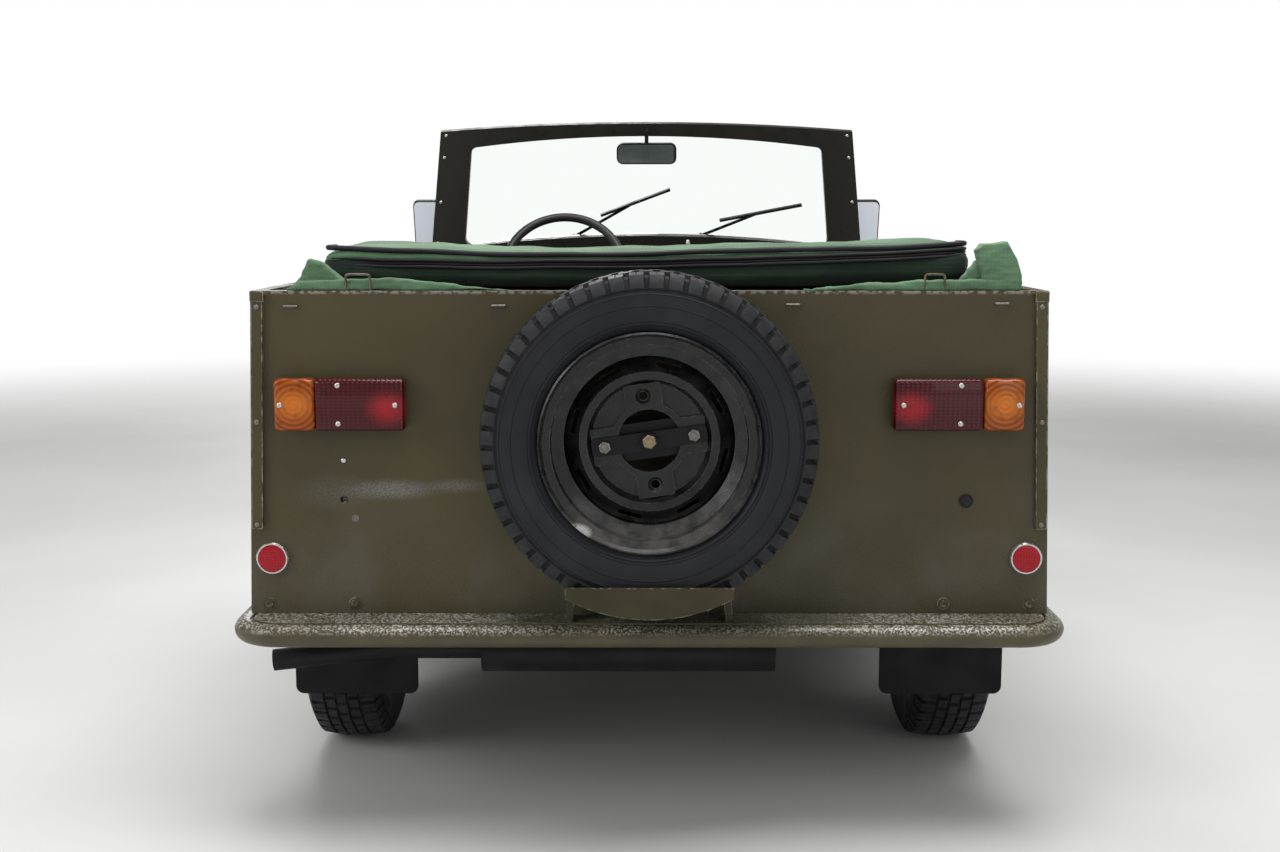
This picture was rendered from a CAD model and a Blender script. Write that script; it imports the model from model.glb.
"""Looks of the open light army car: paint, rubber, lamps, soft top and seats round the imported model.

Metres, in the model's own frame: +Z up, +Y forward, left pieces at -X, seen from behind.
"""

import math

import bmesh
import bpy
from mathutils import Matrix, Vector, noise


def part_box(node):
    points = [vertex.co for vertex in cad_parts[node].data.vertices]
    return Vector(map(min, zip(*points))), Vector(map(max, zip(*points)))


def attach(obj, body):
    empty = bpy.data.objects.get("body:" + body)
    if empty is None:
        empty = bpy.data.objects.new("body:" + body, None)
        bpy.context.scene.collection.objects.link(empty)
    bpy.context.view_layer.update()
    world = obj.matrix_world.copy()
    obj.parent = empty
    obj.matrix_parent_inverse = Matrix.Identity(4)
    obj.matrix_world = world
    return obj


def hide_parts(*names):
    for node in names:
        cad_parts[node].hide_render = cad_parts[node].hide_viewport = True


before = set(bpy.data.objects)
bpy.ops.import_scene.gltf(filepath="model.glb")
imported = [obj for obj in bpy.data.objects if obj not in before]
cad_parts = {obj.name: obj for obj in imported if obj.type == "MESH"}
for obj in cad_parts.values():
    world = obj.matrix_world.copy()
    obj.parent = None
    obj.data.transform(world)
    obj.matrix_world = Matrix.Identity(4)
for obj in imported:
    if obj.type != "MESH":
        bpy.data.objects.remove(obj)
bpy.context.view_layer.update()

BODY = "body"
SCREEN = "windscreen_body"
WHEEL_BODIES = {
    "front_left": "wheel_front_left_body",
    "front_right": "wheel_front_right_body",
    "rear_left": "wheel_rear_left_body",
    "rear_right": "wheel_rear_right_body",
}

# Faces of the frame that details are seated on
panel_lo, panel_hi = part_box("rear_panel")
panel_y = panel_lo.y
panel_top = panel_hi.z
strip_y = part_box("corner_strips")[0].y
spare_lo, spare_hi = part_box("spare_tyre")
spare_centre = (spare_lo + spare_hi) / 2
tyre_radius = (spare_hi.z - spare_lo.z) / 2
tyre_half = (spare_hi.y - spare_lo.y) / 2

# Linear colours
OLIVE = (0.060, 0.0495, 0.0215)
BARE = (0.46, 0.44, 0.40)
DUST = (0.19, 0.175, 0.14)
BLACK = (0.0036, 0.0037, 0.0046)
RUBBER = (0.0120, 0.0126, 0.0158)
RING_RADII = (0.2090, 0.2140, 0.2420, 0.2625, 0.2670, 0.2705)
CANVAS = (0.060, 0.125, 0.062)
CANVAS_DARK = (0.009, 0.021, 0.012)


class Finish:
    """A procedural material. Its patterns lie in the object's own metres."""

    def __init__(self, name, roughness=0.5, metallic=0.0, coat=0.0, specular=0.25):
        self.material = bpy.data.materials.new(name)
        self.material.use_nodes = True
        self.nodes = self.material.node_tree.nodes
        self.links = self.material.node_tree.links
        self.shader = self.nodes["Principled BSDF"]
        self.feed(self.shader.inputs["Roughness"], roughness)
        self.feed(self.shader.inputs["Metallic"], metallic)
        self.feed(self.shader.inputs["Coat Weight"], coat)
        self.feed(self.shader.inputs["Specular IOR Level"], specular)
        self.place = self.nodes.new("ShaderNodeTexCoord").outputs["Object"]
        self.normal = None

    def feed(self, socket, value):
        if isinstance(value, bpy.types.NodeSocket):
            self.links.new(value, socket)
        elif isinstance(value, tuple) and len(value) == 3 and socket.type == "RGBA":
            socket.default_value = (*value, 1.0)
        else:
            socket.default_value = value

    def noise(self, scale, detail=3.0):
        texture = self.nodes.new("ShaderNodeTexNoise")
        self.links.new(self.place, texture.inputs["Vector"])
        texture.inputs["Scale"].default_value = scale
        texture.inputs["Detail"].default_value = detail
        return texture.outputs["Fac"]

    def wave(self, scale, direction):
        texture = self.nodes.new("ShaderNodeTexWave")
        self.links.new(self.place, texture.inputs["Vector"])
        texture.bands_direction = direction
        texture.inputs["Scale"].default_value = scale
        return texture.outputs["Fac"]

    def level(self, value, low, high, start=0.0, end=1.0):
        node = self.nodes.new("ShaderNodeMapRange")
        node.interpolation_type = "SMOOTHSTEP"
        self.links.new(value, node.inputs["Value"])
        for name, number in (("From Min", low), ("From Max", high), ("To Min", start), ("To Max", end)):
            node.inputs[name].default_value = number
        return node.outputs["Result"]

    def math(self, kind, a, b=0.0):
        node = self.nodes.new("ShaderNodeMath")
        node.operation = kind
        self.feed(node.inputs[0], a)
        self.feed(node.inputs[1], b)
        return node.outputs[0]

    def mix(self, share, a, b):
        node = self.nodes.new("ShaderNodeMix")
        node.data_type = "RGBA"
        self.feed(node.inputs[0], share)
        self.feed(node.inputs[6], a)
        self.feed(node.inputs[7], b)
        return node.outputs[2]

    def along(self, axis):
        node = self.nodes.new("ShaderNodeSeparateXYZ")
        self.links.new(self.place, node.inputs[0])
        return node.outputs[axis]

    def spot(self, centre, radii, soft=0.6):
        """A soft-edged ellipsoid: 1 at the centre, 0 outside."""
        shift = self.nodes.new("ShaderNodeVectorMath")
        shift.operation = "SUBTRACT"
        self.links.new(self.place, shift.inputs[0])
        shift.inputs[1].default_value = centre
        scale = self.nodes.new("ShaderNodeVectorMath")
        scale.operation = "DIVIDE"
        self.links.new(shift.outputs[0], scale.inputs[0])
        scale.inputs[1].default_value = radii
        size = self.nodes.new("ShaderNodeVectorMath")
        size.operation = "LENGTH"
        self.links.new(scale.outputs[0], size.inputs[0])
        return self.level(size.outputs["Value"], 1.0 - soft, 1.0, 1.0, 0.0)

    def edges(self, width):
        """1 along the solid's edges, 0 on its flats."""
        bevel = self.nodes.new("ShaderNodeBevel")
        bevel.samples = 4
        bevel.inputs["Radius"].default_value = width
        flat = self.nodes.new("ShaderNodeNewGeometry")
        dot = self.nodes.new("ShaderNodeVectorMath")
        dot.operation = "DOT_PRODUCT"
        self.links.new(bevel.outputs[0], dot.inputs[0])
        self.links.new(flat.outputs["Normal"], dot.inputs[1])
        return self.level(dot.outputs["Value"], 0.86, 0.985, 1.0, 0.0)

    def emboss(self, height, distance, strength=1.0):
        bump = self.nodes.new("ShaderNodeBump")
        bump.inputs["Distance"].default_value = distance
        bump.inputs["Strength"].default_value = strength
        self.links.new(height, bump.inputs["Height"])
        if self.normal:
            self.links.new(self.normal, bump.inputs["Normal"])
        self.normal = bump.outputs["Normal"]

    def done(self, colour, roughness=None):
        self.feed(self.shader.inputs["Base Color"], colour)
        if roughness is not None:
            self.feed(self.shader.inputs["Roughness"], roughness)
        if self.normal:
            self.links.new(self.normal, self.shader.inputs["Normal"])
        return self.material


def shade(colour, factor):
    return tuple(min(1.0, part * factor) for part in colour)


def paint(name, colour, roughness=0.5, wear=0.0, grit=0.25, worn=BARE):
    """Brushed-on vehicle paint: broad mottling, orange peel, settled dust and chipped edges."""
    finish = Finish(name)
    broad = finish.level(finish.noise(3.2), 0.35, 0.68)
    base = finish.mix(broad, shade(colour, 0.86), shade(colour, 1.14))
    specks = finish.level(finish.noise(420.0, 2.0), 0.62, 0.80, 0.0, grit)
    base = finish.mix(specks, base, DUST)
    if wear:
        chips = finish.level(finish.noise(70.0, 5.0), 0.40, 0.60, 0.0, wear)
        base = finish.mix(finish.math("MULTIPLY", finish.edges(0.004), chips), base, worn)
    finish.emboss(finish.noise(260.0, 2.0), 0.0004)
    gloss = finish.level(finish.noise(24.0), 0.3, 0.7, roughness - 0.07, roughness + 0.09)
    return finish.done(base, gloss)


def panel_paint():
    """The rear panel's paint: rubbed band at the left, gritty lower half and a chipped top fold."""
    finish = Finish("rear_panel_paint", specular=0.3)
    broad = finish.level(finish.noise(2.6), 0.35, 0.68)
    base = finish.mix(broad, shade(OLIVE, 0.88), shade(OLIVE, 1.1))
    low = finish.level(finish.along(2), 0.72, 0.46)
    grit = finish.level(finish.noise(520.0, 2.0), 0.56, 0.74)
    haze = finish.level(finish.noise(7.0), 0.38, 0.66, 0.05, 0.36)
    base = finish.mix(finish.math("MULTIPLY", low, haze), base, shade(DUST, 0.62))
    base = finish.mix(finish.math("MULTIPLY", low, finish.math("MULTIPLY", grit, 0.32)), base, DUST)
    for centre, radii, strength in (
        ((-0.480, panel_y, 0.645), (0.110, 0.1, 0.026), 0.55),
        ((-0.356, panel_y, 0.652), (0.075, 0.1, 0.018), 0.32),
        ((-0.585, panel_y, 0.640), (0.100, 0.1, 0.045), 0.16),
    ):
        mask = finish.math("MULTIPLY", finish.spot(centre, radii, 0.9), strength)
        rubbed = finish.math("MULTIPLY", mask, finish.level(finish.noise(330.0, 3.0), 0.40, 0.62, 0.35, 1.0))
        base = finish.mix(rubbed, base, (0.27, 0.27, 0.275))
    chips = finish.level(finish.noise(85.0, 5.0), 0.42, 0.56)
    fold = finish.level(finish.along(2), panel_top - 0.008, panel_top - 0.002)
    base = finish.mix(finish.math("MULTIPLY", fold, finish.math("MULTIPLY", chips, 0.42)), base, BARE)
    finish.emboss(finish.noise(300.0, 2.0), 0.0005)
    finish.emboss(finish.noise(4.0), 0.006, 0.5)
    return finish.done(base, finish.level(finish.noise(18.0), 0.3, 0.7, 0.36, 0.52))


def bumper_paint():
    """Tube paint rubbed through to bright metal along its top."""
    finish = Finish("bumper_paint", specular=0.5)
    base = finish.mix(finish.level(finish.noise(9.0), 0.35, 0.68), shade(OLIVE, 0.9), shade(OLIVE, 1.2))
    facing = finish.nodes.new("ShaderNodeNewGeometry")
    split = finish.nodes.new("ShaderNodeSeparateXYZ")
    finish.links.new(facing.outputs["Normal"], split.inputs[0])
    top = finish.level(split.outputs[2], 0.10, 0.70)
    rubbed = finish.level(finish.noise(240.0, 4.0), 0.47, 0.60)
    patches = finish.level(finish.noise(6.0), 0.30, 0.62, 0.45, 0.95)
    share = finish.math("MULTIPLY", finish.math("MULTIPLY", top, rubbed), patches)
    base = finish.mix(share, base, BARE)
    finish.emboss(finish.noise(230.0, 3.0), 0.0005)
    return finish.done(base, finish.level(finish.noise(30.0), 0.3, 0.7, 0.28, 0.44))


def rubber(name, colour, roughness=0.62, dust=0.3):
    finish = Finish(name)
    film = finish.level(finish.noise(11.0, 4.0), 0.42, 0.72, 0.0, dust)
    base = finish.mix(film, colour, shade(colour, 2.6))
    finish.emboss(finish.noise(900.0, 2.0), 0.0002)
    return finish.done(base, finish.level(finish.noise(16.0), 0.3, 0.7, roughness - 0.08, roughness + 0.1))


def tyre_wall():
    """Rubber with rings moulded round the sidewall, worn paler towards the tread."""
    finish = Finish("tyre_rubber_finish")
    reach = finish.nodes.new("ShaderNodeAttribute")
    reach.attribute_name = "reach"
    reach = reach.outputs["Fac"]
    rings = 0.0
    for radius in RING_RADII:
        off = finish.math("ABSOLUTE", finish.math("SUBTRACT", reach, radius))
        rings = finish.math("ADD", finish.level(off, 0.0004, 0.0014, 1.0, 0.0), rings)
    film = finish.level(finish.noise(11.0, 4.0), 0.42, 0.72, 0.0, 0.35)
    base = finish.mix(film, RUBBER, shade(RUBBER, 2.4))
    worn = finish.level(reach, 0.262, 0.285, 0.0, 0.5)
    patches = finish.level(finish.noise(60.0), 0.4, 0.6)
    base = finish.mix(finish.math("MULTIPLY", worn, patches), base, (0.030, 0.029, 0.027))
    base = finish.mix(finish.math("MULTIPLY", rings, 0.5), base, (0.004, 0.004, 0.005))
    finish.emboss(rings, 0.0015)
    finish.emboss(finish.noise(900.0, 2.0), 0.0002)
    return finish.done(base, finish.level(finish.noise(16.0), 0.3, 0.7, 0.44, 0.62))


def bare_metal(name, colour, roughness=0.38, rust=0.2):
    finish = Finish(name, metallic=0.85, specular=0.5)
    stain = finish.level(finish.noise(60.0, 4.0), 0.5, 0.74, 0.0, rust)
    base = finish.mix(stain, colour, (0.12, 0.055, 0.025))
    finish.emboss(finish.noise(700.0, 2.0), 0.00015)
    return finish.done(base, finish.level(finish.noise(90.0), 0.3, 0.7, roughness - 0.1, roughness + 0.14))


def cloth(name, colour, thread=0.0012, fade=1.5, roughness=0.82):
    """Woven canvas: two crossing sets of threads, creases and sun fading."""
    finish = Finish(name)
    finish.shader.inputs["Sheen Weight"].default_value = 0.15
    faded = finish.level(finish.noise(6.0, 4.0), 0.36, 0.70)
    base = finish.mix(faded, shade(colour, 0.85), shade(colour, fade))
    bands = 1.0 / (thread * 20.0)
    warp = finish.wave(bands, "X")
    weft = finish.wave(bands, "Z")
    weave = finish.math("MAXIMUM", warp, weft)
    base = finish.mix(finish.math("MULTIPLY", weave, 0.16), base, shade(colour, 0.4))
    finish.emboss(weave, thread * 0.35, 0.7)
    finish.emboss(finish.noise(26.0, 4.0), 0.006, 0.5)
    return finish.done(base, roughness)


def glass(name, tint):
    roughness = 0.02
    finish = Finish(name, roughness=roughness, specular=0.5)
    finish.shader.inputs["Transmission Weight"].default_value = 1.0
    finish.shader.inputs["IOR"].default_value = 1.1
    smear = finish.level(finish.noise(7.0, 4.0), 0.45, 0.75, roughness, roughness + 0.05)
    return finish.done(tint, smear)


def lens(name, colour, glow, lamp_centre, rings):
    """A moulded lamp lens: rings over the bulb or crossed ribs, with the bulb's bright patch."""
    finish = Finish(name, roughness=0.16, coat=0.2)
    bright = finish.spot(lamp_centre, (0.050, 0.2, 0.040), 0.9)
    if rings:
        texture = finish.nodes.new("ShaderNodeTexWave")
        texture.wave_type = "RINGS"
        texture.rings_direction = "Y"
        shift = finish.nodes.new("ShaderNodeVectorMath")
        shift.operation = "SUBTRACT"
        finish.links.new(finish.place, shift.inputs[0])
        shift.inputs[1].default_value = lamp_centre
        finish.links.new(shift.outputs[0], texture.inputs["Vector"])
        texture.inputs["Scale"].default_value = 34.0
        pattern = texture.outputs["Fac"]
    else:
        pattern = finish.math("MULTIPLY", finish.wave(36.0, "X"), finish.wave(52.0, "Z"))
    base = finish.mix(finish.level(pattern, 0.15, 0.85), shade(colour, 0.55), colour)
    base = finish.mix(finish.math("MULTIPLY", bright, 0.75), base, glow)
    base = finish.mix(finish.level(finish.noise(55.0, 3.0), 0.55, 0.7, 0.0, 0.35), base, shade(colour, 0.3))
    finish.emboss(pattern, 0.0012, 0.6)
    return finish.done(base)


def black_steel(name, wear=0.5, roughness=0.36, chip=None):
    """Satin black wheel paint, dusty and rubbed. A chip adds a scrape, and dust low on the rim."""
    finish = Finish(name, specular=0.45)
    dust = finish.math("MULTIPLY", finish.level(finish.noise(34.0, 5.0), 0.46, 0.66), 0.55)
    base = finish.mix(finish.level(finish.noise(12.0, 4.0), 0.4, 0.7), BLACK, shade(BLACK, 2.2))
    base = finish.mix(dust, base, (0.013, 0.0125, 0.011))
    rub = finish.level(finish.noise(120.0, 4.0), 0.42, 0.62, 0.0, wear)
    base = finish.mix(finish.math("MULTIPLY", finish.edges(0.003), rub), base, (0.10, 0.098, 0.095))
    if chip:
        low = finish.level(finish.along(2), chip[2] + 0.085, chip[2] + 0.005)
        far = finish.math("SUBTRACT", 1.0, finish.spot(spare_centre, (0.155, 0.5, 0.155), 0.15))
        patches = finish.level(finish.noise(45.0, 4.0), 0.35, 0.65, 0.25, 0.8)
        settled = finish.math("MULTIPLY", finish.math("MULTIPLY", low, far), patches)
        base = finish.mix(settled, base, (0.075, 0.072, 0.068))
        rough_edge = finish.level(finish.noise(150.0, 4.0), 0.36, 0.46)
        base = finish.mix(finish.math("MULTIPLY", finish.spot(chip, (0.036, 0.2, 0.020), 0.35), rough_edge),
                          base, (0.42, 0.42, 0.41))
    finish.emboss(finish.noise(320.0, 2.0), 0.0003)
    return finish.done(base, finish.level(finish.noise(40.0), 0.3, 0.7, roughness - 0.12, roughness + 0.12))


def carrier_paint():
    """The carrier's black steel above, and the chipped olive cradle under the tyre."""
    finish = Finish("carrier_paint")
    olive = finish.mix(finish.level(finish.noise(9.0), 0.35, 0.68), shade(OLIVE, 0.75), shade(OLIVE, 1.05))
    chips = finish.math("MULTIPLY", finish.edges(0.003), finish.level(finish.noise(90.0, 5.0), 0.45, 0.6))
    olive = finish.mix(chips, olive, shade(BARE, 0.8))
    cradle = finish.level(finish.along(2), 0.560, 0.562, 1.0, 0.0)
    olive = finish.mix(0.25, olive, (0.004, 0.004, 0.003))
    base = finish.mix(cradle, shade(BLACK, 1.2), olive)
    finish.emboss(finish.noise(260.0, 2.0), 0.0004)
    return finish.done(base, 0.42)


MATERIALS = {
    "olive": paint("olive_paint", OLIVE, 0.46, 0.35),
    "olive_floor": paint("olive_floor_paint", shade(OLIVE, 0.8), 0.6, 0.25, 0.45),
    "strip": paint("strip_paint", shade(OLIVE, 1.06), 0.42, 0.8),
    "panel": panel_paint(),
    "bumper": bumper_paint(),
    "chassis": paint("chassis_paint", (0.010, 0.0095, 0.008), 0.6, 0.2, 0.3),
    "grille": paint("grille_paint", (0.018, 0.018, 0.016), 0.5, 0.3, 0.2),
    "screen": paint("screen_frame_paint", (0.015, 0.0145, 0.0115), 0.34, 0.5, 0.08, worn=OLIVE),
    "glass": glass("screen_glass", (0.93, 0.97, 0.95)),
    "plastic": rubber("black_plastic", (0.008, 0.008, 0.009), 0.45, 0.15),
    "tyre": tyre_wall(),
    "tyre_gap": rubber("tyre_gap_finish", (0.003, 0.003, 0.0035), 0.8, 0.2),
    "belt": rubber("belt_rubber_finish", (0.02, 0.02, 0.02), 0.7, 0.2),
    "flap": rubber("flap_rubber", (0.0042, 0.0042, 0.0046), 0.62, 0.2),
    "wheel": black_steel("wheel_paint"),
    "spare_wheel": black_steel("spare_wheel_paint", 0.8, 0.34, (-0.132, spare_centre.y, 0.596)),
    "carrier": carrier_paint(),
    "hub": bare_metal("hub_casting", (0.10, 0.095, 0.09), 0.55, 0.6),
    "engine": bare_metal("engine_casting", (0.24, 0.24, 0.235), 0.5, 0.3),
    "spring": paint("spring_steel", (0.02, 0.019, 0.018), 0.6, 0.3, 0.4, worn=(0.12, 0.06, 0.03)),
    "exhaust": rubber("exhaust_black", (0.008, 0.008, 0.008), 0.5, 0.4),
    "zinc": bare_metal("zinc_plate", (0.55, 0.54, 0.50), 0.3, 0.15),
    "dull": bare_metal("dull_zinc", (0.20, 0.19, 0.17), 0.42, 0.45),
    "brass": bare_metal("yellow_zinc", (0.30, 0.24, 0.15), 0.42, 0.35),
    "chrome": bare_metal("bright_trim", (0.62, 0.62, 0.61), 0.16, 0.04),
    "mirror": Finish("mirror_face", roughness=0.03, metallic=1.0).done((0.80, 0.84, 0.93)),
    "canvas": cloth("canvas_green", CANVAS),
    "canvas_dark": cloth("canvas_shaded", CANVAS_DARK),
    "canvas_light": cloth("canvas_faded", (0.085, 0.160, 0.088), fade=1.35),
    "binding": rubber("black_binding", (0.012, 0.012, 0.014), 0.5, 0.25),
    "seat": cloth("seat_cloth_finish", (0.020, 0.026, 0.018), 0.0016, 1.8, 0.6),
    "controls": rubber("control_black", (0.012, 0.012, 0.012), 0.35, 0.1),
}

FINISH_OF_NODE = {
    "rear_panel": "panel",
    "corner_strips": "strip",
    "floor_pan": "olive_floor",
    "wheel_boxes": "olive",
    "chassis_rails": "chassis",
    "front_crossmember": "chassis",
    "rear_axle": "chassis",
    "leaf_springs": "spring",
    "front_bumper": "bumper",
    "rear_bumper": "bumper",
    "grille": "grille",
    "windscreen_frame": "screen",
    "windscreen_glass": "glass",
    "wipers": "plastic",
    "mirrors": "plastic",
    "seat_frames": "chassis",
    "dashboard": "olive",
    "steering_column": "controls",
    "steering_wheel": "controls",
    "engine": "engine",
    "primary_drive": "engine",
    "final_drive": "engine",
    "drive_belts": "belt",
    "tie_rods": "spring",
    "exhaust": "exhaust",
    "fuel_tank": "chassis",
    "mud_flaps": "flap",
    "spare_carrier": "carrier",
    "hood_bows": "chassis",
    "hand_controls": "controls",
    "spare_wheel": "spare_wheel",
}
FINISH_OF_START = {"hub_": "hub", "wheel_f": "wheel", "wheel_r": "wheel", "knuckle_": "spring"}


def cad_finish(node):
    """Name of the finish of a CAD node: by its own name, by how it starts, or else body paint."""
    if node in FINISH_OF_NODE:
        return FINISH_OF_NODE[node]
    for start, finish in FINISH_OF_START.items():
        if node.startswith(start):
            return finish
    return "olive"


for node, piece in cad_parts.items():
    piece.data.materials.clear()
    piece.data.materials.append(MATERIALS[cad_finish(node)])


def placed(name, data):
    """A new object in the scene."""
    item = bpy.data.objects.new(name, data)
    bpy.context.scene.collection.objects.link(item)
    return item


def add_piece(name, mesh, body, finish, sharp=None):
    """A new piece from a mesh, in its material, riding on its body. Edges over `sharp` degrees stay sharp."""
    piece = placed(name, mesh)
    for part in finish if isinstance(finish, list) else [finish]:
        mesh.materials.append(MATERIALS[part] if isinstance(part, str) else part)
    mesh.shade_smooth()
    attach(piece, body)
    if sharp:
        piece.data.set_sharp_from_angle(angle=math.radians(sharp))
    return piece


def mesh_of(name, vertices, faces):
    mesh = bpy.data.meshes.new(name)
    mesh.from_pydata(vertices, [], faces)
    mesh.update()
    return mesh


def face_outwards(mesh):
    """Turns every face of a closed mesh outwards."""
    fix = bmesh.new()
    fix.from_mesh(mesh)
    bmesh.ops.recalc_face_normals(fix, faces=fix.faces)
    fix.to_mesh(mesh)
    fix.free()


def arc_points(a, b, c, count):
    """Points of the arc through three flat points, from the first to the last, both included."""
    ax, ay, bx, by, cx, cy = *a, *b, *c
    d = 2 * (ax * (by - cy) + bx * (cy - ay) + cx * (ay - by))
    ux = ((ax**2 + ay**2) * (by - cy) + (bx**2 + by**2) * (cy - ay) + (cx**2 + cy**2) * (ay - by)) / d
    uy = ((ax**2 + ay**2) * (cx - bx) + (bx**2 + by**2) * (ax - cx) + (cx**2 + cy**2) * (bx - ax)) / d
    radius = math.hypot(ax - ux, ay - uy)
    start = math.atan2(ay - uy, ax - ux)
    middle = (math.atan2(by - uy, bx - ux) - start + math.pi) % math.tau - math.pi
    end = (math.atan2(cy - uy, cx - ux) - start + math.pi) % math.tau - math.pi
    if middle * end < 0:
        end -= math.copysign(math.tau, end)
    turns = [start + end * i / (count - 1) for i in range(count)]
    return [(ux + radius * math.cos(t), uy + radius * math.sin(t)) for t in turns]


# Tyres: ridged sidewalls, five rows of tread blocks and lugs over the shoulders
PITCHES = 52
BLOCK_STEPS = (0.0, 0.16, 0.20, 0.31, 0.33, 0.35, 0.46, 0.50, 0.70, 0.75, 0.95)
GROOVE_DEPTH = 0.0065
SIPE_DEPTH = 0.003
LUG_RISE = 0.0030
RIDGE_RISE = 0.0016
LUG_GAP_START = 0.70
LUG_LOW = 0.2715
WALL_RINGS = (0.2640, 0.2080)
half_tread = 0.062
shoulder_drop = 0.006
shoulder_radius = tyre_radius - shoulder_drop
rim_radius = 0.195
bead_half = 0.0567


def crown_radius(x):
    """Radius of the tread's outer face at a distance from its middle."""
    return tyre_radius - shoulder_drop * (x / half_tread) ** 2


def tread_profile():
    """Half section from the tread's middle to the bead: across, radius, row of the pattern."""
    rows = [(x, crown_radius(x), row) for x, row in (
        (0.0, "centre"), (0.009, "centre"), (0.0102, "ring"), (0.0138, "ring"), (0.015, "middle"),
        (0.024, "middle"), (0.033, "middle"), (0.0342, "ring"), (0.0378, "ring"), (0.039, "outer"),
        (0.048, "outer"), (0.056, "outer"),
    )]
    wall = arc_points((half_tread, shoulder_radius), (tyre_half, (rim_radius + tyre_radius) / 2),
                      (bead_half, rim_radius), 27)
    for x, radius in wall:
        if radius > LUG_LOW:
            kind = "lug"
        elif any(abs(radius - ring) < 0.0028 for ring in WALL_RINGS):
            kind = "ridge"
        else:
            kind = "side"
        rows.append((x, radius, kind))
    rows += [(bead_half - 0.010, rim_radius - 0.004, "side"), (bead_half - 0.012, 0.1795, "side")]
    return rows


def tread_depth(row, step):
    """How far the rubber lies under its outer face at one step of a pitch."""
    if row == "ring":
        return GROOVE_DEPTH
    gap = (0.20, 0.46) if row == "middle" else (0.75, 0.95)
    if row in ("centre", "middle", "outer", "lug") and gap[0] <= step <= gap[1]:
        return GROOVE_DEPTH
    if row == "outer" and step == 0.33:
        return SIPE_DEPTH
    return 0.0


def tyre_mesh():
    """One tyre round the X axis, its middle at the origin."""
    half = tread_profile()
    rows = [(-x, r, kind) for x, r, kind in half[:0:-1]] + half
    angles = [(pitch + step) * math.tau / PITCHES for pitch in range(PITCHES) for step in BLOCK_STEPS]
    vertices, faces, reach = [], [], []
    for i, angle in enumerate(angles):
        step = BLOCK_STEPS[i % len(BLOCK_STEPS)]
        for x, radius, kind in rows:
            depth = tread_depth(kind, step)
            out = 0.0
            if kind == "lug":
                out = LUG_RISE - depth
                radius -= depth * min(1.0, (radius - LUG_LOW) / (shoulder_radius - LUG_LOW))
            elif kind == "ridge":
                out = RIDGE_RISE
            else:
                radius -= depth
            lean = math.copysign(out, x) if x else 0.0
            vertices.append((x + lean, radius * math.cos(angle), radius * math.sin(angle)))
            reach.append(radius)
    width = len(rows)
    for i in range(len(angles)):
        ahead = (i + 1) % len(angles)
        for j in range(width):
            side = (j + 1) % width
            faces.append((i * width + j, i * width + side, ahead * width + side, ahead * width + j))
    mesh = mesh_of("tyre", vertices, faces)
    mesh.attributes.new("reach", "FLOAT", "POINT").data.foreach_set("value", reach)
    for i in range(len(angles)):
        floor_step = BLOCK_STEPS[i % len(BLOCK_STEPS)] >= LUG_GAP_START
        for j in range(width):
            if floor_step and rows[j][2] == "lug":
                mesh.polygons[i * width + j].material_index = 1
    face_outwards(mesh)
    return mesh


TYRE = tyre_mesh()
TYRE_FINISHES = ["tyre", "tyre_gap"]
TYRE_SHARP = 32
for ending, wheel_body in WHEEL_BODIES.items():
    lo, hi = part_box(f"tyre_{ending}")
    mesh = TYRE.copy()
    mesh.transform(Matrix.Translation((lo + hi) / 2))
    road_tyre = add_piece(f"road_tyre_{ending}", mesh, wheel_body, TYRE_FINISHES, TYRE_SHARP)
    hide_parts(f"tyre_{ending}")
mesh = TYRE.copy()
mesh.transform(Matrix.Translation(spare_centre) @ Matrix.Rotation(math.radians(90), 4, "Z"))
spare_skin = add_piece("spare_tyre_skin", mesh, BODY, TYRE_FINISHES, TYRE_SHARP)
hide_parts("spare_tyre")


def turned(profile, centre, axis, steps=20):
    """Vertices and faces of a small turned part: profile is (height along the axis, radius)."""
    axis = Vector(axis).normalized()
    side = axis.orthogonal().normalized()
    other = axis.cross(side)
    vertices, faces = [], []
    for height, radius in profile:
        for i in range(steps):
            angle = math.tau * i / steps
            ring = side * (radius * math.cos(angle)) + other * (radius * math.sin(angle))
            vertices.append(Vector(centre) + axis * height + ring)
    for row in range(len(profile) - 1):
        for i in range(steps):
            ahead = (i + 1) % steps
            low, high = row * steps, (row + 1) * steps
            faces.append((low + i, low + ahead, high + ahead, high + i))
    faces.append(tuple(range(steps))[::-1])
    faces.append(tuple((len(profile) - 1) * steps + i for i in range(steps)))
    return vertices, faces


def turned_pieces(name, profile, places, axis, body, finish, steps=20):
    """The same small turned part at several places, as one piece."""
    vertices, faces = [], []
    for place in places:
        more, shells = turned(profile, place, axis, steps)
        faces += [tuple(i + len(vertices) for i in face) for face in shells]
        vertices += more
    return add_piece(name, mesh_of(name, vertices, faces), body, finish, 35)


def wire(name, points, radius, body, finish):
    """A round wire, welt or binding along a smooth line of points."""
    curve = bpy.data.curves.new(name, "CURVE")
    curve.dimensions = "3D"
    curve.bevel_depth = radius
    curve.bevel_resolution = 6
    curve.use_fill_caps = True
    spline = curve.splines.new("NURBS")
    spline.points.add(len(points) - 1)
    for point, place in zip(spline.points, points):
        point.co = (*place, 1.0)
    spline.order_u = 3
    spline.use_endpoint_u = True
    spline.resolution_u = 6
    piece = placed(name, curve)
    curve.materials.append(MATERIALS[finish])
    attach(piece, body)


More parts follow.
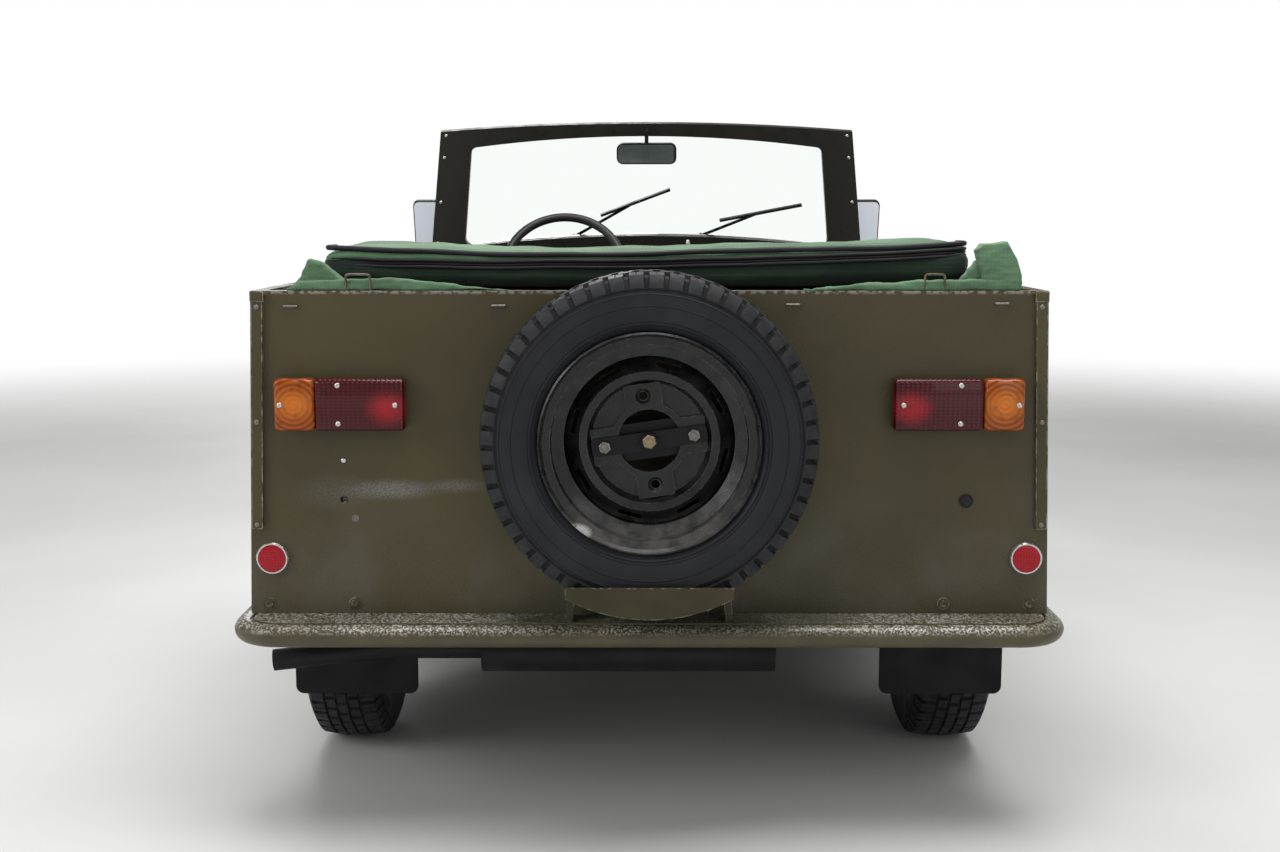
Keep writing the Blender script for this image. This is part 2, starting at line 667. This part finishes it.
def rounded_box(name, lo, hi, radius, body, finish, segments=3):
    """A box with rounded edges between two corners."""
    lo, hi = Vector(lo), Vector(hi)
    shape = bmesh.new()
    bmesh.ops.create_cube(shape, size=1.0)
    for vertex in shape.verts:
        vertex.co = Vector((lo[i] + (vertex.co[i] + 0.5) * (hi[i] - lo[i]) for i in range(3)))
    bmesh.ops.bevel(shape, geom=shape.edges[:], offset=radius, segments=segments, affect="EDGES", profile=0.5)
    mesh = bpy.data.meshes.new(name)
    shape.to_mesh(mesh)
    shape.free()
    return add_piece(name, mesh, body, finish, 30)


# Screws, bolts and plugs seated on the rear panel and its strips
PAN_HEAD = ((-0.001, 0.0048), (0.0010, 0.0048), (0.0022, 0.0036), (0.0027, 0.0018))
HEX_BOLT = ((-0.001, 0.0078), (0.0062, 0.0078), (0.0070, 0.0064), (0.0071, 0.0045), (0.0060, 0.0040))
PLUG = ((-0.001, 0.0125), (0.003, 0.0125), (0.0055, 0.0100), (0.0066, 0.0055))
REARWARDS = (0, -1, 0)
SIDES = ((-1, "left"), (1, "right"))
strip_x = 0.7145
strip_lean = 0.0295
catch_half = 0.0125
strip_screws = []
for side, hand in SIDES:
    for z in (0.984, 0.772, 0.580):
        strip_screws.append((side * (strip_x + strip_lean * (panel_top - z)), strip_y, z))
for side, hand in SIDES:
    low = (side * strip_x - catch_half, strip_y - 0.0022, 0.9930)
    high = (side * strip_x + catch_half, strip_y + 0.0004, panel_top - 0.0005)
    rounded_box(f"corner_catch_{hand}", low, high, 0.0010, BODY, "strip", 2)
turned_pieces("strip_screws", PAN_HEAD, strip_screws, REARWARDS, BODY, "dull", 16)
panel_bolts = [(side * x, panel_y, 0.4290) for side in (-1, 1) for x in (0.5510, 0.7105)]
turned_pieces("panel_bolts", HEX_BOLT, panel_bolts, REARWARDS, BODY, "strip", 6)
turned_pieces("panel_washers", ((-0.0005, 0.0115), (0.0014, 0.0115), (0.0016, 0.0105)), panel_bolts,
              REARWARDS, BODY, "strip", 20)
turned_pieces("bright_screw", PAN_HEAD, [(-0.5654, panel_y, 0.7000)], REARWARDS, BODY, "chrome", 16)
turned_pieces("hole_plug", PLUG, [(0.5880, panel_y, 0.6240)], REARWARDS, BODY, "binding", 24)
hole_ring = ((-0.0005, 0.0068), (0.0006, 0.0068), (0.0007, 0.0046), (-0.0060, 0.0044))
turned_pieces("chipped_hole", hole_ring, [(-0.546, panel_y, 0.591)], REARWARDS, BODY, "dull", 24)

# Footman loops on the panel's face, and wire hoops that hold the soft top's edge
WIRE_RADIUS = 0.0022
for number, (x, z) in enumerate(((-0.655, 0.985), (-0.275, 0.986), (0.262, 0.988), (0.643, 0.990))):
    half = 0.0115
    low, high = panel_y + 0.001, panel_y - 0.005
    loop = [(x - half, low, z), (x - half, high, z), (x - half, high, z),
            (x + half, high, z), (x + half, high, z), (x + half, low, z)]
    wire(f"panel_loop_{number}", loop, WIRE_RADIUS, BODY, "dull")
for number, (x, half) in enumerate(((-0.531, 0.022), (0.520, 0.018))):
    rise = ((half, -1.6520, -0.004), (half, -1.6605, 0.020), (half, -1.6605, 0.028),
            (half - 0.006, -1.6605, 0.030))
    hoop = [(x - out, y, panel_top + up) for out, y, up in rise]
    hoop += [(x + out, y, panel_top + up) for out, y, up in reversed(rise)]
    wire(f"hood_hoop_{number}", hoop, WIRE_RADIUS, BODY, "strip")


# Tail lamps: black base, amber outer part, red inner part and four screws, with a round reflector below
LAMP_HALF = (0.120, 0.0485)
lamp_z = 0.808
lamp_x = 0.563
base_y = panel_y - 0.010
face_y = panel_y - 0.044
amber_split = 0.608
for side, hand in SIDES:
    low, high = sorted((side * (lamp_x - LAMP_HALF[0] + 0.004), side * (lamp_x + LAMP_HALF[0] - 0.004)))
    base = rounded_box(f"lamp_base_{hand}", (low, base_y, lamp_z - LAMP_HALF[1] + 0.003),
                       (high, panel_y + 0.0003, lamp_z + LAMP_HALF[1] - 0.003), 0.003, BODY, "plastic")
    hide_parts("rear_lights")
    split = side * amber_split
    bulb = (side * (amber_split + lamp_x + LAMP_HALF[0]) / 2, face_y, lamp_z)
    amber = lens(f"amber_lens_{hand}", (0.34, 0.070, 0.004), (0.62, 0.17, 0.010), bulb, True)
    stop = lens(f"red_lens_{hand}", (0.085, 0.005, 0.008), (0.38, 0.008, 0.018),
                (side * 0.475, face_y, lamp_z - 0.006), False)
    spans = (
        ("amber", min(split, side * (lamp_x + 0.119)), max(split, side * (lamp_x + 0.119)), amber),
        ("red", min(split, side * (lamp_x - 0.119)), max(split, side * (lamp_x - 0.119)), stop),
    )
    for kind, start, end, material in spans:
        rounded_box(f"{kind}_lens_{hand}", (start, face_y, lamp_z - 0.0475),
                    (end, base_y + 0.0005, lamp_z + 0.0475), 0.008, BODY, material, 4)
    screws = ((0.108, 0.0), (-0.102, 0.0), (0.002, 0.036), (0.002, -0.034))
    places = [(side * (lamp_x + x), face_y, lamp_z + z) for x, z in screws]
    turned_pieces(f"lamp_screws_{hand}", PAN_HEAD, places, REARWARDS, BODY, "zinc", 16)
    reflector = (side * 0.702, panel_y, 0.516)
    ring = ((-0.0003, 0.0300), (0.0070, 0.0300), (0.0090, 0.0285), (0.0090, 0.0262), (0.0070, 0.0260))
    turned_pieces(f"reflector_ring_{hand}", ring, [reflector], REARWARDS, BODY, "chrome", 48)
    red = Finish(f"reflector_red_{hand}", roughness=0.2, coat=0.2)
    cells = red.math("MULTIPLY", red.wave(60.0, "X"), red.wave(60.0, "Z"))
    red_colour = red.mix(red.level(cells, 0.2, 0.8), (0.30, 0.002, 0.009), (0.42, 0.004, 0.016))
    red.emboss(cells, 0.0006, 0.4)
    turned_pieces(f"reflector_{hand}", ((0.0, 0.0262), (0.0082, 0.0262), (0.0090, 0.0235), (0.0094, 0.012)),
                  [reflector], REARWARDS, BODY, red.done(red_colour), 48)

# Front lamps: a fluted dome in a chrome ring, and an amber lens under each
NOSE_Y = 1.765
HEADLAMP = (0.560, 0.700)
fluted = Finish("headlamp_glass", roughness=0.08, coat=0.6, specular=0.6)
ribs = fluted.wave(26.0, "X")
silver = fluted.mix(fluted.level(ribs, 0.1, 0.9), (0.20, 0.21, 0.22), (0.52, 0.54, 0.55))
fluted.emboss(ribs, 0.0015, 0.7)
MATERIALS["headlamp"] = fluted.done(silver)
for side, hand in SIDES:
    centre = (side * HEADLAMP[0], NOSE_Y, HEADLAMP[1])
    dome = [(-0.043, 0.050), (-0.018, 0.090), (0.0124, 0.088)]
    for share in (0.94, 0.85, 0.72, 0.56, 0.38, 0.2, 0.05):
        dome.append((0.013 + 0.0149 * (1 - share**2), 0.088 * share))
    lamp = turned_pieces(f"headlamp_{hand}", dome, [centre], (0, 1, 0), BODY, "headlamp", 64)
    ring = ((0.0006, 0.1005), (0.0060, 0.1012), (0.0096, 0.0985), (0.0098, 0.0925), (0.0120, 0.0885))
    turned_pieces(f"headlamp_rim_{hand}", ring, [centre], (0, 1, 0), BODY, "chrome", 64)
    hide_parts("front_lights")
    small = (side * HEADLAMP[0], NOSE_Y + 0.026, 0.545)
    amber = lens(f"direction_lens_{hand}", (0.34, 0.075, 0.005), (0.60, 0.18, 0.015), small, True)
    rounded_box(f"direction_lamp_{hand}", (small[0] - 0.059, NOSE_Y + 0.0002, 0.523),
                (small[0] + 0.059, NOSE_Y + 0.026, 0.567), 0.009, BODY, amber, 4)

# Nuts and bolt heads on the spare wheel's bar, which lies 8 degrees off level
spare_turn = math.radians(8.0)
nut_y = spare_centre.y - 0.0203
bolt_reach = 0.080
bar_bolts = []
for side in (-1, 1):
    bar_bolts.append((side * bolt_reach * math.cos(spare_turn), nut_y,
                      spare_centre.z + side * bolt_reach * math.sin(spare_turn)))
NUT = ((-0.001, 0.0110), (0.0085, 0.0110), (0.0096, 0.0092), (0.0097, 0.0060), (0.0140, 0.0060),
       (0.0148, 0.0048))
turned_pieces("bar_nuts", NUT, bar_bolts, REARWARDS, BODY, "dull", 6)
CENTRE_NUT = ((-0.001, 0.0135), (0.0125, 0.0135), (0.0140, 0.0115), (0.0141, 0.0070), (0.0165, 0.0064))
turned_pieces("centre_nut", CENTRE_NUT, [(0.0, nut_y, spare_centre.z)], REARWARDS, BODY, "brass", 6)

# Mirror faces, towards the driver
screen_lean = math.radians(16.0)
screen_hinge = Vector((0.0, 0.590, 1.015))
screen_up = Vector((0.0, -math.sin(screen_lean), math.cos(screen_lean)))
screen_back = Vector((0.0, -math.cos(screen_lean), -math.sin(screen_lean)))


def on_screen(u, v, behind):
    """A point of the leaning windscreen: across, up from the hinge, and behind its middle plane."""
    return screen_hinge + Vector((u, 0.0, 0.0)) + screen_up * v + screen_back * behind


def screen_plate(name, centre, size, corner, behind, gauge, finish):
    """A rounded plate lying in the windscreen's plane."""
    segments = 6
    outline = []
    for sx, sy, start in ((1, 1, 0), (-1, 1, 90), (-1, -1, 180), (1, -1, 270)):
        for i in range(segments + 1):
            angle = math.radians(start + 90 * i / segments)
            outline.append((centre[0] + sx * (size[0] / 2 - corner) + corner * math.cos(angle),
                            centre[1] + sy * (size[1] / 2 - corner) + corner * math.sin(angle)))
    count = len(outline)
    vertices = [on_screen(u, v, behind + depth) for depth in (0.0, gauge) for u, v in outline]
    faces = [tuple(range(count))[::-1], tuple(range(count, 2 * count))]
    faces += [(i, (i + 1) % count, count + (i + 1) % count, count + i) for i in range(count)]
    add_piece(name, mesh_of(name, vertices, faces), SCREEN, finish, 30)


screen_plate("inside_mirror_glass", (0.0, 0.354), (0.180, 0.058), 0.016, 0.0590, 0.0006, "mirror")
for side, hand in SIDES:
    screen_plate(f"side_mirror_glass_{hand}", (side * 0.702, 0.096), (0.104, 0.157), 0.015, -0.0270, 0.0006,
                 "mirror")
pillar_screws = []
for side in (-1, 1):
    for share in (0.12, 0.45, 0.80, 0.97):
        pillar_screws.append(on_screen(side * (0.684 - 0.053 * share), 0.414 * share, 0.0150))
turned_pieces("pillar_screws", PAN_HEAD, pillar_screws, screen_back, SCREEN, "zinc", 16)

# The windscreen's small catch on the scuttle
catch_y = 0.566
catch = ((-0.004, 0.014), (0.004, 0.014), (0.012, 0.006), (0.086, 0.005), (0.089, 0.0085), (0.100, 0.0085),
         (0.110, 0.003))
turned_pieces("screen_catch", catch, [(0.135, catch_y, 0.967)], (0, 0, 1), BODY, "zinc", 16)


# Soft goods. A closed soft form is made from an outline, remeshed, relaxed and creased.
def soften(piece, voxel, rounds, crease, scale, seed):
    """Voxel remesh, smoothing and noise along the normals, all applied to the mesh."""
    remeshed(piece, voxel, rounds)
    shift = Vector((seed, 0.3 * seed, 0.7 * seed))
    moves = []
    for vertex in piece.data.vertices:
        broad = noise.noise(vertex.co * scale + shift)
        x, y, z = vertex.co
        fine = noise.noise(Vector((x * scale * 2.6, y * scale * 2.6, z * scale * 5.0)) + shift)
        moves.append(vertex.normal * crease * (broad + 0.55 * fine))
    displace(piece, moves)


def displace(piece, moves):
    """Moves each vertex of the piece by its own vector."""
    for vertex, move in zip(piece.data.vertices, moves):
        vertex.co += move
    piece.data.update()
    piece.data.shade_smooth()


def apply_modifiers(piece):
    """Puts the piece's modifiers into its mesh."""
    graph = bpy.context.evaluated_depsgraph_get()
    fresh = bpy.data.meshes.new_from_object(piece.evaluated_get(graph))
    old = piece.data
    piece.modifiers.clear()
    piece.data = fresh
    bpy.data.meshes.remove(old)


def remeshed(piece, voxel, rounds):
    """Replaces the piece's mesh by a smoothed voxel remesh of it."""
    remesh = piece.modifiers.new("remesh", "REMESH")
    remesh.mode = "VOXEL"
    remesh.voxel_size = voxel
    relax = piece.modifiers.new("relax", "SMOOTH")
    relax.iterations = rounds
    relax.factor = 0.5
    apply_modifiers(piece)


def slab(name, outline, y_back, depth, body, finish):
    """A closed slab whose outline is (across, height), from a rear face forwards."""
    count = len(outline)
    vertices = [(x, y, z) for y in (y_back, y_back + depth) for x, z in outline]
    faces = [tuple(range(count)), tuple(range(count, 2 * count))[::-1]]
    faces += [(i, count + i, count + (i + 1) % count, (i + 1) % count) for i in range(count)]
    mesh = mesh_of(name, vertices, faces)
    face_outwards(mesh)
    return add_piece(name, mesh, body, finish)


# Rolled soft top: a flattened roll with full ends, and a zip and piping along its rear face
roll_left, roll_right = -0.611, 0.600
roll_back, roll_front = -1.590, -1.190
roll_floor = panel_top + 0.0005


def roll_top(x):
    """Height of the roll's top over the car: lowest in the middle, highest at the right."""
    share = (x - roll_left) / (roll_right - roll_left)
    sag = 4 * share * (1 - share)
    return 1.096 + 0.012 * share - 0.015 * sag + 0.002 * math.sin(11 * share + 0.6)


def roll_zip(x):
    """Height of the zip on the roll's rear face."""
    share = (x - roll_left) / (roll_right - roll_left)
    return 1.064 + 0.018 * share - 0.013 * 4 * share * (1 - share)


def roll_point(share, turn):
    """A point of the roll's skin: share runs along the car's width, turn round the section."""
    x = roll_left + (roll_right - roll_left) * share
    end = min(1.0, (1 - abs(2 * share - 1) ** 26)) ** 0.5
    low, top = roll_floor, roll_top(x)
    middle = (low + top) / 2
    half_z = (top - low) / 2 * (0.30 + 0.70 * end)
    half_y = (roll_front - roll_back) / 2 * (0.86 + 0.14 * end)
    c, s = math.cos(turn), math.sin(turn)
    power = 0.42
    y = (roll_back + roll_front) / 2 - half_y * math.copysign(abs(c) ** power, c)
    z = middle + half_z * math.copysign(abs(s) ** power, s)
    return Vector((x, y, z))


ROLL_STEPS = 150
ROLL_TURNS = 56
vertices, faces = [], []
for i in range(ROLL_STEPS + 1):
    share = 0.5 - 0.5 * math.cos(math.pi * i / ROLL_STEPS) if i in (0, ROLL_STEPS) else i / ROLL_STEPS
    for j in range(ROLL_TURNS):
        point = roll_point(share, math.tau * (j + 0.5) / ROLL_TURNS)
        back = max(0.0, (roll_back + 0.05 - point.y) / 0.05)
        groove = math.exp(-((point.z - roll_zip(point.x)) / 0.006) ** 2) * 0.005 * back
        belly = 0.006 * math.sin(math.pi * min(1.0, max(0.0, (point.z - roll_floor) / 0.05))) * back
        crease = 0.0045 * noise.noise(Vector((point.x * 5.0, point.y * 9.0, point.z * 26.0)))
        crease += 0.0030 * noise.noise(Vector((point.x * 16.0, point.y * 14.0, point.z * 40.0)))
        point.y += 0.0040 * noise.noise(Vector((point.x * 7.0, 5.0, point.z * 45.0))) * back
        point.y += groove - 0.2 * belly
        point.z = max(min(point.z + crease, point.z + 0.004), roll_floor)
        vertices.append(point)
for i in range(ROLL_STEPS):
    for j in range(ROLL_TURNS):
        ahead = (j + 1) % ROLL_TURNS
        near, next_ring = i * ROLL_TURNS, (i + 1) * ROLL_TURNS
        faces.append((near + j, next_ring + j, next_ring + ahead, near + ahead))
faces.append(tuple(range(ROLL_TURNS)))
faces.append(tuple(ROLL_STEPS * ROLL_TURNS + j for j in range(ROLL_TURNS))[::-1])
hood = add_piece("hood_roll", mesh_of("hood_roll", vertices, faces), BODY, ["canvas", "canvas_dark"])
for face in hood.data.polygons:
    centre = face.center
    face.material_index = 1 if centre.z < roll_zip(centre.x) - 0.003 else 0
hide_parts("folded_hood")


def round_roll(height, offset, inset):
    """A line round the roll's rear face and ends, at an offset from a height given by a function of x."""
    count = 60
    line = []
    for i in range(count + 1):
        x = roll_left + 0.012 + (roll_right - roll_left - 0.024) * i / count
        wobble = 0.0016 * noise.noise(Vector((x * 9.0, 3.1, 0.4)))
        y = roll_back - inset + 0.004 * abs(2 * i / count - 1) ** 12 * 4
        line.append((x, y, height(x) + offset + wobble))
    (x, y, z), last = line[0], line[-1]
    line = [(x - 0.008, y + 0.10, z), (x - 0.010, y + 0.03, z)] + line
    x, y, z = last
    return line + [(x + 0.010, y + 0.03, z), (x + 0.008, y + 0.10, z)]


for name, height, offset, inset, radius, finish in (
    ("hood_zip_upper", roll_zip, 0.0060, 0.0008, 0.0034, "binding"),
    ("hood_zip_lower", roll_zip, -0.0060, 0.0008, 0.0034, "binding"),
    ("hood_zip_teeth", roll_zip, 0.0, -0.0004, 0.0026, "controls"),
    ("hood_piping", roll_top, -0.0085, -0.0035, 0.0050, "binding"),
):
    wire(name, round_roll(height, offset, inset), radius, BODY, finish)

# Flaps of the soft top's rear edge, folded down over the panel's top, as outlines (across, height)
FLAP_Z = 1.0136
LEFT_GUSSET = ((-0.668, FLAP_Z), (-0.640, 1.038), (-0.622, 1.0705), (-0.600, 1.064), (-0.556, 1.030),
               (-0.552, FLAP_Z))
LEFT_STRIP = ((-0.660, FLAP_Z), (-0.640, 1.030), (-0.560, 1.034), (-0.480, 1.036), (-0.400, 1.030),
              (-0.330, 1.022), (-0.250, FLAP_Z))
RIGHT_SLEEVE = ((0.612, FLAP_Z), (0.606, 1.050), (0.594, 1.088), (0.606, 1.098), (0.632, 1.100),
                (0.652, 1.104), (0.672, 1.070), (0.680, 1.040), (0.680, FLAP_Z))
RIGHT_STRIP = ((0.276, FLAP_Z), (0.320, 1.019), (0.400, 1.027), (0.500, 1.031), (0.600, 1.033),
               (0.672, 1.036), (0.678, FLAP_Z))
RIGHT_GUSSET = ((0.560, FLAP_Z), (0.575, 1.038), (0.600, 1.068), (0.640, 1.060), (0.650, FLAP_Z))
for name, outline, y_back, depth, seed in (
    ("hood_flap_left_gusset", LEFT_GUSSET, -1.6480, 0.026, 1.3),
    ("hood_flap_left_strip", LEFT_STRIP, -1.6560, 0.016, 4.7),
    ("hood_flap_right_sleeve", RIGHT_SLEEVE, -1.6560, 0.026, 7.9),
    ("hood_flap_right_strip", RIGHT_STRIP, -1.6560, 0.016, 11.2),
    ("hood_flap_right_gusset", RIGHT_GUSSET, -1.6400, 0.020, 15.6),
):
    flap = slab(name, outline, y_back, depth, BODY, "canvas_light")
    soften(flap, 0.0026, 9, 0.0030, 22.0, seed)


def puff(node, name, voxel, pressure, cap, body, finish, channels):
    """A cushion from a CAD solid: shrunk, blown up as cloth, capped, and sewn across in channels."""
    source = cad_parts[node]
    mesh = source.data.copy()
    mesh.materials.clear()
    piece = add_piece(name, mesh, body, finish)
    remeshed(piece, voxel, 10)
    rest = [vertex.co.copy() for vertex in piece.data.vertices]
    sim = piece.modifiers.new("cloth", "CLOTH")
    sim.settings.quality = 5
    sim.settings.use_pressure = True
    sim.settings.uniform_pressure_force = pressure
    sim.settings.effector_weights.gravity = 0.0
    sim.collision_settings.use_collision = False
    for step in range(1, 16):
        bpy.context.scene.frame_set(step)
    apply_modifiers(piece)
    bpy.context.scene.frame_set(1)
    for vertex, start in zip(piece.data.vertices, rest):
        move = vertex.co - start
        if move.length > cap:
            vertex.co = start + move * (cap / move.length)
    piece.data.update()
    moves = []
    for vertex in piece.data.vertices:
        depth = sum(math.exp(-((vertex.co.x - line) / 0.006) ** 2) for line in channels)
        facing = max(0.0, vertex.normal.z * 0.8 + abs(vertex.normal.y) * 0.7)
        moves.append(vertex.normal * (-0.007 * depth * facing + 0.002 * noise.noise(vertex.co * 14.0)))
    displace(piece, moves)
    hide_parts(node)


seat_lines = [side * 0.330 + step * 0.072 for side in (-1, 1) for step in (-2, -1, 0, 1, 2)]
puff("front_seats", "front_seat_cushions", 0.007, 3.0, 0.008, BODY, "seat", seat_lines)
bench_lines = [step * 0.078 for step in range(-5, 6)]
puff("rear_bench", "rear_bench_cushions", 0.008, 3.0, 0.008, BODY, "seat", bench_lines)

# Floor, light and camera
floor_mesh = mesh_of("floor", [(-30, -30, 0), (30, -30, 0), (30, 30, 0), (-30, 30, 0)], [(0, 1, 2, 3)])
floor = placed("floor", floor_mesh)
pale = Finish("pale_floor", roughness=0.55)
far = pale.nodes.new("ShaderNodeVectorMath")
far.operation = "LENGTH"
pale.links.new(pale.place, far.inputs[0])
fade = pale.level(far.outputs["Value"], 4.0, 9.0)
pale.done(pale.mix(pale.level(pale.noise(0.8), 0.3, 0.7), (0.60, 0.60, 0.59), (0.66, 0.66, 0.65)))
glow = pale.nodes.new("ShaderNodeEmission")
blend = pale.nodes.new("ShaderNodeMixShader")
output = pale.nodes["Material Output"]
pale.links.new(fade, blend.inputs[0])
pale.links.new(pale.shader.outputs[0], blend.inputs[1])
pale.links.new(glow.outputs[0], blend.inputs[2])
pale.links.new(blend.outputs[0], output.inputs["Surface"])
floor_mesh.materials.append(pale.material)

world = bpy.data.worlds.new("studio")
bpy.context.scene.world = world
world.use_nodes = True
sky = world.node_tree.nodes
sky_links = world.node_tree.links
soft = sky["Background"]
soft.inputs["Color"].default_value = (1.0, 1.0, 1.0, 1.0)
soft.inputs["Strength"].default_value = 0.36
white = sky.new("ShaderNodeBackground")
white.inputs["Color"].default_value = (1.0, 1.0, 1.0, 1.0)
white.inputs["Strength"].default_value = 1.0
rays = sky.new("ShaderNodeLightPath")
seen = sky.new("ShaderNodeMath")
seen.operation = "MAXIMUM"
sky_links.new(rays.outputs["Is Camera Ray"], seen.inputs[0])
sky_links.new(rays.outputs["Is Transmission Ray"], seen.inputs[1])
choice = sky.new("ShaderNodeMixShader")
sky_links.new(seen.outputs[0], choice.inputs[0])
sky_links.new(soft.outputs[0], choice.inputs[1])
sky_links.new(white.outputs[0], choice.inputs[2])
sky_links.new(choice.outputs[0], sky["World Output"].inputs["Surface"])


def softbox(name, place, aim, size, power):
    """A square area lamp pointed at a place."""
    lamp = bpy.data.lights.new(name, "AREA")
    lamp.shape = "SQUARE"
    lamp.size = size
    lamp.energy = power
    light = placed(name, lamp)
    light.location = place
    light.rotation_euler = (Vector(aim) - Vector(place)).to_track_quat("-Z", "Y").to_euler()


softbox("overhead", (0.3, -1.4, 4.4), (0.0, -0.6, 0.6), 3.2, 230.0)
softbox("left_window", (-4.6, -4.2, 3.0), (-0.2, -1.4, 0.8), 2.4, 105.0)
softbox("rear_fill", (2.6, -6.5, 2.4), (0.0, -1.6, 0.7), 3.0, 40.0)
softbox("front_fill", (-1.5, 6.5, 3.4), (0.0, 1.0, 0.6), 3.0, 120.0)

FOCAL_PIXELS = 1539.0
PHOTO_WIDTH = 1280.0
camera_data = bpy.data.cameras.new("camera")
camera_data.sensor_width = 36.0
camera_data.lens = FOCAL_PIXELS / PHOTO_WIDTH * camera_data.sensor_width
camera = placed("camera", camera_data)
camera.location = (-0.012, -4.472, 1.151)
camera.rotation_euler = (math.radians(90.0 - 7.83), 0.0, math.radians(0.10))
bpy.context.scene.camera = camera
bpy.context.scene.view_settings.view_transform = "Standard"
